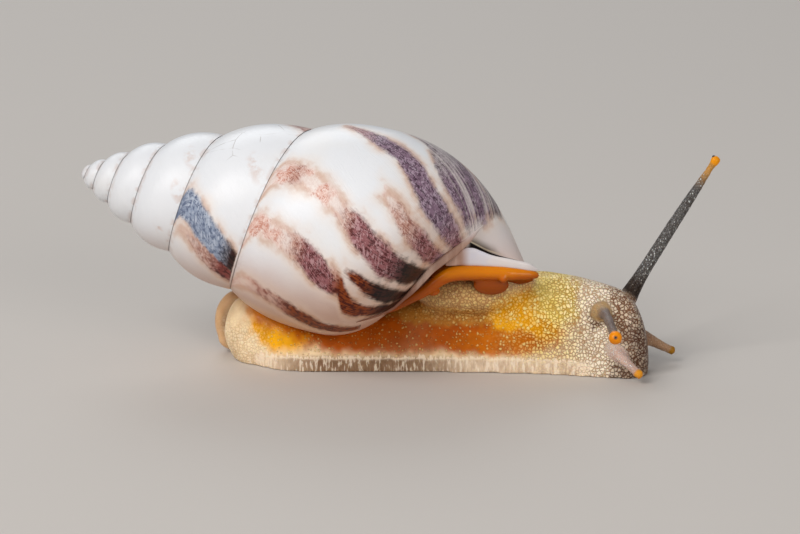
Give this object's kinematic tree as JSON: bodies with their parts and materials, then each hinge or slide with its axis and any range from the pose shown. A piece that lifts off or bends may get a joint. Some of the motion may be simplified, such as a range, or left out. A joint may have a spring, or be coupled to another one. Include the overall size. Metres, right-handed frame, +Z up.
{
  "type": "striped tree snail",
  "caption": "Life-size still model of a left-coiled land snail crawling with its striped glossy shell on its back and its feelers out.",
  "frame": {"origin": "middle of the bounding box's bottom, on the plane the sole stands on", "axes": "+X the way the snail crawls, +Y its left side, +Z up"},
  "size_m": [0.069, 0.0238, 0.0263],
  "materials": {
    "shell": "glossy, wet look, with plum-brown flames",
    "lip": "glossy white",
    "skin": "moist, granular",
    "mantle": "moist, smooth",
    "tentacle_tip": "moist, glassy",
    "eye": "glossy black"
  },
  "bodies": {
    "root": {"eye_left": "eye", "eye_right": "eye", "foot": "skin", "head": "skin", "lower_tentacle_left": "skin", "lower_tentacle_left_tip": "tentacle_tip", "lower_tentacle_right": "skin", "lower_tentacle_right_tip": "tentacle_tip", "mantle_collar": "mantle", "neck": "skin", "shell_apex": "shell", "shell_body_whorl": "shell", "shell_columellar_lip": "lip", "shell_lower_spire": "shell", "shell_outer_lip": "lip", "shell_upper_spire": "shell", "tail": "skin", "upper_tentacle_left": "skin", "upper_tentacle_left_tip": "tentacle_tip", "upper_tentacle_right": "skin", "upper_tentacle_right_tip": "tentacle_tip"}
  },
  "joints": []
}
